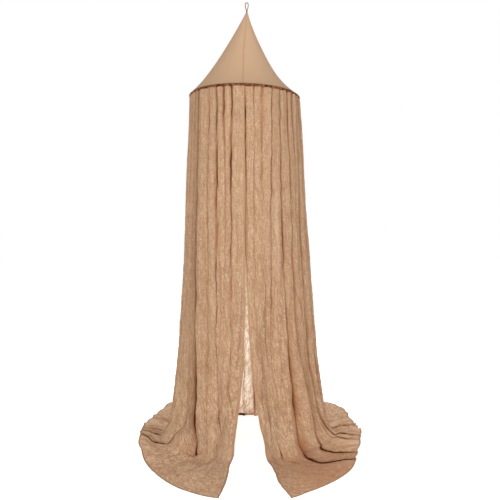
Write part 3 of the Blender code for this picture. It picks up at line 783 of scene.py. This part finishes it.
def crinkled_gauze():
    """Crinkled see-through gauze: fine pinched lines that run down the cloth, an open weave, closed in its
    creases, and seen through a little between its threads. Its colour holds painted shade and light: darker
    and redder in its creases, deep between its folds and in its crinkles' valleys, paler on their crests,
    and a pale glow on the strip of the back that is seen against the light."""
    n = new_material("crinkled_gauze")
    uv = n.uv()
    inner_side = n.add("ShaderNodeNewGeometry").outputs["Backfacing"]
    # The painted shade in the corner inside the back's foot shows on the inner side only, and darkens like a
    # crease.
    crease = n.math("MAXIMUM", n.mark("crease"), n.math("MULTIPLY", n.mark("corner"), inner_side))
    tone, sheer_and_painted_glow = n.mark("tone"), n.mark("sheer_and_painted_glow")
    streak = n.noise(uv, (170, 9, 1), 3.0, 0.6, 0.6)
    fine = n.noise(uv, (230, 70, 1), 3.0, 0.7, 0.8)
    patch = n.noise(uv, (14, 4, 1), 2.0, 0.5)
    weave = n.woven(uv, 0.0016)
    pinch = n.math("MULTIPLY", n.math("ABSOLUTE", n.math("SUBTRACT", streak, 0.5)), 6.0, clamp=True)
    crisp = n.math("MULTIPLY", n.math("ABSOLUTE", n.math("SUBTRACT", fine, 0.5)), 6.0, clamp=True)

    colour = n.mix(patch, GAUZE_PALE, GAUZE_TAN)
    # Painted shade and highlight on the fine crinkles: darker where their bumps sink, paler where they rise.
    colour = n.mix(0.32, colour, n.mix(pinch, PINCH_SHADE_DARK, PINCH_HIGHLIGHT))
    colour = n.mix(0.52, colour, n.mix(crisp, PINCH_SHADE_DARK, CRISP_HIGHLIGHT))
    # Painted shade and highlight from the crinkles' tone: browner along their valleys, paler on their crests.
    low = n.math("MULTIPLY", n.math("SUBTRACT", 0.5, tone), 0.9, clamp=True)
    high = n.math("MULTIPLY", n.math("SUBTRACT", tone, 0.5), 0.9, clamp=True)
    colour = n.mix(low, colour, VALLEY_SHADE_BROWN)
    colour = n.mix(high, colour, CREST_HIGHLIGHT_PALE)
    # Painted shade deep between the folds, on the front flaps and beside two creases on the right: the colour
    # turns brown.
    colour = n.mix(n.math("MULTIPLY", n.mark("depth"), 0.80), colour, DEPTH_SHADE_BROWN)
    # Painted light: on the strip of the back seen against the light, the colour is mixed towards a pale cream
    # glow.
    colour = n.mix(n.math("MULTIPLY", sheer_and_painted_glow, 0.50), colour, n.mix(tone, PAINTED_GLOW_LOW, PAINTED_GLOW_HIGH))
    # Painted shade: in the creases, the tucks, the line beside the front edge and the corner inside the
    # back's foot, the colour turns brown, near black at their bottoms.
    colour = n.mix(n.math("MULTIPLY", crease, 0.92), colour, CREASE_SHADE_BROWN)
    bottom = n.math("MULTIPLY_ADD", crease, 2.8, -1.5, clamp=True)
    colour = n.mix(n.math("MULTIPLY", bottom, 0.95), colour, CREASE_SHADE_BOTTOM)

    bumped = n.bump(pinch, 0.8, 0.0016)
    bumped = n.bump(crisp, 0.7, 0.0010, bumped)
    bumped = n.bump(weave, 0.25, 0.0002, bumped)
    through_share = n.math("MULTIPLY_ADD", sheer_and_painted_glow, 0.60, 0.28)
    cloth = n.cloth(colour, bumped, through_share, roughness=0.95, gloss=0.02, sheen=0.02)
    holes = n.math("MULTIPLY_ADD", weave, 0.01, 0.012)
    holes = n.math("MULTIPLY_ADD", n.math("SUBTRACT", pinch, 0.5), 0.015, holes)
    holes = n.math("MULTIPLY_ADD", n.math("MULTIPLY", sheer_and_painted_glow, pinch), 0.10, holes)
    open_share = n.math("MULTIPLY", holes, n.math("SUBTRACT", 1.0, crease), clamp=True)
    clear = n.add("ShaderNodeBsdfTransparent").outputs[0]
    return n.finish(n.add("ShaderNodeMixShader", {0: open_share, 1: cloth, 2: clear}).outputs[0])


def rolled_gauze():
    """The gauze where its edge is turned over twice: closed, redder and darker."""
    n = new_material("rolled_gauze")
    uv = n.uv()
    fine = n.noise(uv, (500, 300, 1))
    bumped = n.bump(n.woven(uv, 0.0012), 0.3, 0.0002, n.bump(fine, 0.5, 0.0005))
    colour = n.mix(fine, HEM_DARK, HEM_LIGHT)
    return n.finish(n.cloth(colour, bumped, 0.2, roughness=0.9, gloss=0.05, sheen=0.03))


def plain_cotton():
    """Smooth plain woven cotton, a little uneven in its threads. Its casing round the hoop is painted dark
    red-brown, in patches near black: painted shade under the cone's hem.
    """
    n = new_material("plain_cotton")
    uv = n.uv()
    slub = n.noise(uv, (900, 40, 1))
    cross = n.noise(uv, (40, 900, 1))
    thread = n.math("MULTIPLY", n.math("ADD", slub, cross), 0.5)
    base = n.mix(n.noise(uv, (9, 9, 1)), CONE_PALE, CONE_TAN)
    base = n.mix(n.math("MULTIPLY", thread, 0.5), base, CONE_THREAD)
    base = n.mix(n.math("MULTIPLY", n.mark("seam"), 0.36), base, SEAM_BROWN)
    # Painted shade on the casing round the hoop: dark red-brown, in patches near black.
    spots = n.noise(uv, (95, 60, 1), 2.0, 0.6)
    spotted = n.math("MULTIPLY_ADD", n.math("SUBTRACT", spots, 0.5), 4.0, 0.45, clamp=True)
    colour = n.mix(n.mark("casing"), base, n.mix(spotted, CASING_SHADE_DARK, CASING_SHADE_RED))
    bumped = n.bump(n.woven(uv, 0.0013), 0.25, 0.0002, n.bump(thread, 0.3, 0.0003))
    return n.finish(n.cloth(colour, bumped, 0.15, roughness=0.9, gloss=0.06, sheen=0.02))


def twisted_cotton():
    """Twisted cotton cord: fine fibres that run along each strand."""
    n = new_material("twisted_cotton")
    fibre = n.noise(n.uv(), (9, 900, 1), 3.0)
    colour = n.mix(fibre, CORD_DARK, CORD_LIGHT)
    bumped = n.bump(fibre, 0.6, 0.0003)
    return n.finish(n.surface(colour, 0.9, Specular_IOR_Level=0.1, Sheen_Weight=0.03, Normal=bumped))


def drawn_wire():
    """Plain steel wire with fine marks from drawing and a few duller patches."""
    n = new_material("drawn_wire")
    place = n.add("ShaderNodeTexCoord").outputs["Object"]
    marks = n.noise(place, (60, 60, 900), 3.0)
    colour = n.mix(n.noise(place, (30, 30, 30)), WIRE_BRIGHT, WIRE_DULL)
    rough = n.math("MULTIPLY_ADD", marks, 0.3, 0.25)
    return n.finish(n.surface(colour, rough, Metallic=1.0, Normal=n.bump(marks, 0.2, 0.0002)))


# ---------------------------------------------------------------- pieces


def make_curtain():
    """The six gauze panels, with the curtain's whole grid of points for the hem."""
    t = np.concatenate([np.linspace(0, 1, WALL_ROWS + 1)[:-1], np.linspace(1, 2, FLOOR_ROWS + 1)])
    fold, share = panel_columns(0, len(FOLDS) - 1)
    points, (crease, corner, depth), on_floor, a, s = curtain_surface(t, fold, share)
    points, crease = tucked(points, crease, a, s)
    u = np.broadcast_to(lengths(points, 1).mean(axis=0), crease.shape)
    v = lengths(points, 0)
    free = np.minimum(np.minimum(u, u[:, -1:] - u), v[-1:] - v)
    points, tone = crinkled(points, np.maximum(crease, corner), on_floor, a, t, u, v, free)

    height = points[..., 2]
    # The strip of the back seen through the parting: the gauze lets more light through there, its crinkles'
    # tone is stronger, and its colour gets a painted pale glow of light from behind.
    sheer_and_painted_glow = near(a, BACK, 17) * ease((1.25 - height) / 0.9) * (1 - on_floor)
    tone = np.clip(0.5 + (tone - 0.5) * (1 + 0.5 * sheer_and_painted_glow), 0, 1)
    # A painted highlight: a lighter streak down the wall.
    tone = np.clip(tone + 0.35 * near(a, PAINTED_HIGHLIGHT_AT, 2.6) * near(height, PAINTED_HIGHLIGHT_HEIGHT, 0.17), 0, 1)
    marks = {"crease": crease, "corner": corner, "depth": depth, "tone": tone, "sheer_and_painted_glow": sheer_and_painted_glow}
    cloth = crinkled_gauze()
    pieces = []
    for panel in PANELS:
        inside = np.flatnonzero((fold >= panel.first) & (fold < panel.last))
        # with the next panel's first column, and from the last one back, so that the faces point outwards
        part = np.arange(len(fold))[inside[0] : inside[-1] + 2][::-1]
        maps = (u[:, part], v[:, part])
        own = {mark: values[:, part] for mark, values in marks.items()}
        piece = grid_mesh(panel.name, hung(points[:, part]), maps, own, cloth)
        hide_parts("curtain")
        pieces.append(piece)
    return pieces, points


def make_hem(points):
    """The narrow rolled hem down one front edge, round the train and up the other: a flat oval carried
    along the curtain's edge, just inside it and in its plane."""
    edge = np.concatenate([points[:, 0], points[-1, 1:-1], points[::-1, -1]])
    beside = points[:, INSET_COLUMNS], points[-1 - INSET_ROWS, 1:-1], points[::-1, -1 - INSET_COLUMNS]
    inner = np.concatenate(beside)
    along = unit(np.gradient(edge, axis=0))
    inward = inner - edge
    inward = unit(inward - along * np.sum(inward * along, axis=1, keepdims=True))
    face = np.cross(along, inward)
    turn = np.linspace(2 * math.pi, 0, HEM_SIDES + 1)[:-1]
    wide = HEM_WIDTH / 2 * (1 + np.cos(turn))
    thick = HEM_THICKNESS / 2 * np.sin(turn)
    rows = edge[:, None] + wide[:, None] * inward[:, None] + thick[:, None] * face[:, None]
    rows[..., 2] = np.maximum(rows[..., 2], 0.0001)
    far = np.concatenate([[0], np.cumsum(np.linalg.norm(np.diff(edge, axis=0), axis=1))])
    v = np.broadcast_to(far[:, None], rows.shape[:2])
    u = np.broadcast_to(turn / (2 * math.pi) * 2 * HEM_WIDTH, rows.shape[:2])
    hem = grid_mesh("curtain_hem", hung(rows), (u, v), {}, rolled_gauze(), (-2 * HEM_WIDTH, 0.0))
    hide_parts("curtain")
    return hem


def make_cone():
    """The cone from its tip down to the hoop, where its hem rolls outside the wire, under it and up
    inside. Its front seam wanders a little, and the casing is lumpy where the gathers pull at it."""
    azimuth = -np.arange(CONE_COLUMNS) * 360 / CONE_COLUMNS
    angle = np.radians(azimuth)[None, :]
    side_sag = (SAG_LEFT + SAG_RIGHT) / 2 + (SAG_LEFT - SAG_RIGHT) / 2 * np.sin(angle)
    start = math.radians(ROLL_START)
    foot_radius = HOOP_RADIUS + ROLL_RADIUS * math.cos(start)
    foot_height = HOOP_HEIGHT + ROLL_RADIUS * math.sin(start)
    k = np.linspace(1, 0, CONE_ROWS)[:, None]
    sag = side_sag * (1 + SAG_FLARE * (1 - k) ** 3)
    radius = TIP_RADIUS + (foot_radius - TIP_RADIUS) * ((1 - k) - sag * k * (1 - k))
    path = np.array(SEAM_PATH)
    from_seam = (azimuth[None, :] - through(k[:, 0], path[:, 0], path[:, 1])[:, None] + 180) % 360 - 180
    seam = near(np.radians(from_seam) * radius, 0, SEAM_WIDTH)
    drape = DRAPE * rumple(azimuth[None, :] / 360 + 0 * k, k + 0 * angle, 1 / 24, 0.5, 31) * 4 * k * (1 - k)
    radius = radius + SEAM_HEIGHT * seam * ease((1 - k) / 0.05) + drape
    x = -radius * np.sin(angle) + APEX_LEAN * k
    y = -radius * np.cos(angle)
    height = foot_height + (APEX_HEIGHT - foot_height) * k + 0 * angle
    z = tilted(x, height) * (1 - k) + height * k
    upper = np.stack([x, y, z], axis=-1)

    turn = np.radians(np.linspace(ROLL_START, ROLL_END, ROLL_ROWS + 1)[1:])[:, None]
    lump = LUMP * rumple(azimuth[None, :] + 0 * turn, np.degrees(turn) + 0 * angle, 2.6, 70, 32)
    stub = STUB * near(azimuth[None, :], -STUB_AT, STUB_REACH) * np.sin(turn).clip(None, 0) ** 2
    pull = ROLL_RADIUS + (lump + stub) * ease((start - turn) / 0.6)
    ring = HOOP_RADIUS + pull * np.cos(turn)
    x, y = -ring * np.sin(angle), -ring * np.cos(angle)
    lower = np.stack([x, y, tilted(x, HOOP_HEIGHT + pull * np.sin(turn))], axis=-1)

    points = np.concatenate([upper, lower])
    v = lengths(points, 0)
    u = np.broadcast_to(azimuth[None, :] / 360 * 2 * math.pi * HOOP_RADIUS, v.shape)
    edge = ease((CASING_SHADE_EDGE - k) / 0.012) + 0 * angle
    casing = np.concatenate([edge, np.ones_like(turn) + 0 * angle])
    seam = np.concatenate([seam, np.broadcast_to(seam[-1:], (ROLL_ROWS, CONE_COLUMNS))])
    marks = {"casing": casing, "seam": seam}
    once_round = (-2 * math.pi * HOOP_RADIUS, 0.0)
    cone = grid_mesh("cone_cloth", hung(points), (u, v), marks, plain_cotton(), once_round)
    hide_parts("cone")
    return cone


def joined(name, pieces):
    """Several meshes as one piece."""
    with bpy.context.temp_override(active_object=pieces[0], selected_editable_objects=pieces):
        bpy.ops.object.join()
    pieces[0].name = pieces[0].data.name = name
    return pieces[0]


def make_loop():
    """The hanging loop: a cord of three strands laid round each other. Its two ends come up out of the
    tip, twist round each other through the neck, and part round the eye that the hook goes through."""
    strand = LOOP_CORD_RADIUS + 0.0001
    side = ((strand, -LOOP_TAIL), (strand, 0.004), (strand, LOOP_NECK), (0.0048, 0.024), (LOOP_EYE, 0.034))
    rise = LOOP_HEIGHT - LOOP_CORD_RADIUS - LOOP_CROWN
    crown = [
        (LOOP_EYE * math.cos(a), LOOP_CROWN + rise * math.sin(a)) for a in np.radians(np.linspace(15, 165, 7))
    ]
    places = [*side, *crown, *[(-across, up) for across, up in reversed(side)]]
    across, up = through(np.linspace(0, len(places) - 1, CORD_STEPS), range(len(places)), places).T
    twist = 2 * math.pi * NECK_TURNS * (1 - ease((up - 0.002) / (LOOP_NECK - 0.002)))
    line = np.stack([APEX_LEAN + across * np.cos(twist), across * np.sin(twist), APEX_HEIGHT + up], axis=1)

    along = unit(np.gradient(line, axis=0))
    sideways = unit(np.cross(along, [0.0, 1.0, 0.0]))
    upright = np.cross(sideways, along)
    far = np.concatenate([[0], np.cumsum(np.linalg.norm(np.diff(line, axis=0), axis=1))])
    ring = np.linspace(0, 2 * math.pi, STRAND_SIDES + 1)[:-1]
    loops = []
    for i in range(STRANDS):
        turn = 2 * math.pi * (far / STRAND_PITCH + i / STRANDS)
        middle = line + STRAND_OFFSET * (np.cos(turn)[:, None] * sideways + np.sin(turn)[:, None] * upright)
        out = np.cos(ring)[None, :, None] * sideways[:, None] + np.sin(ring)[None, :, None] * upright[:, None]
        loops.append(middle[:, None] + STRAND_RADIUS * out)
    u, v = np.broadcast_arrays(ring[None, :] * STRAND_RADIUS, far[:, None])
    once_round = (2 * math.pi * STRAND_RADIUS, 0.0)
    cotton = twisted_cotton()
    strands = []
    for i, tube in enumerate(loops):
        strands.append(grid_mesh(f"strand_{i}", hung(tube), (u, v), {}, cotton, once_round))
    loop = joined("cord_loop", strands)
    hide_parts("loop")


def make_room():
    """A plain pale floor, a white surround and soft light from above the camera's left."""
    data = bpy.data.meshes.new("studio_floor")
    far = 40.0
    z = FLOOR - 0.0005
    data.from_pydata([(-far, -far, z), (far, -far, z), (far, far, z), (-far, far, z)], [], [(0, 1, 2, 3)])
    floor = bpy.data.objects.new("studio_floor", data)
    bpy.context.scene.collection.objects.link(floor)
    n = new_material("studio_white")
    glow = {"Emission_Color": WHITE, "Emission_Strength": 0.90}
    data.materials.append(n.finish(n.surface((0.5, 0.5, 0.5, 1), 1.0, Specular_IOR_Level=0.0, **glow)))

    world = bpy.data.worlds.new("studio")
    bpy.context.scene.world = world
    n = Nodes(world)
    lit = n.add("ShaderNodeBackground", {"Color": WHITE, "Strength": 0.38}).outputs[0]
    seen = n.add("ShaderNodeBackground", {"Color": WHITE, "Strength": 1.0}).outputs[0]
    camera_ray = n.add("ShaderNodeLightPath").outputs["Is Camera Ray"]
    mixed = n.add("ShaderNodeMixShader", {0: camera_ray, 1: lit, 2: seen})
    n.add("ShaderNodeOutputWorld", {"Surface": mixed.outputs[0]})

    lamps = (  # name, place, target, size, watts
        ("key", (-1.5, -3.5, 0.0), (0, 0, -1.1), 0.8, 85.0),
        ("fill", (2.6, -2.8, -0.3), (0, 0, -1.1), 1.8, 67.0),
        ("back", (0.6, 3.4, -0.4), (0, 0, -1.0), 2.5, 145.0),
    )
    for name, place, target, size, power in lamps:
        lamp = bpy.data.lights.new(name, "AREA")
        lamp.size = size
        lamp.energy = power
        made = bpy.data.objects.new(name, lamp)
        bpy.context.scene.collection.objects.link(made)
        made.location = place
        made.rotation_euler = (Vector(target) - Vector(place)).to_track_quat("-Z", "Y").to_euler()


def make_camera():
    """A level camera in front of the canopy, at the photograph's distance and height."""
    data = bpy.data.cameras.new("camera")
    data.sensor_width = SENSOR
    data.lens = FOCAL_LENGTH * SENSOR / PHOTO_WIDTH
    data.shift_x = (PHOTO_WIDTH / 2 - AHEAD_ACROSS) / PHOTO_WIDTH
    data.shift_y = (AHEAD_DOWN - PHOTO_WIDTH / 2) / PHOTO_WIDTH
    camera = bpy.data.objects.new("camera", data)
    bpy.context.scene.collection.objects.link(camera)
    camera.location = (-APEX_LEAN, -EYE_DISTANCE, FLOOR + EYE_HEIGHT)
    camera.rotation_euler = (math.radians(90), 0, 0)
    bpy.context.scene.camera = camera


make_camera()
make_room()
bpy.context.scene.view_settings.view_transform = "Standard"
panels, curtain_points = make_curtain()
hem = make_hem(curtain_points)
cone = make_cone()
make_loop()
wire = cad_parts["hoop"]
wire.data.materials.clear()
wire.data.materials.append(drawn_wire())
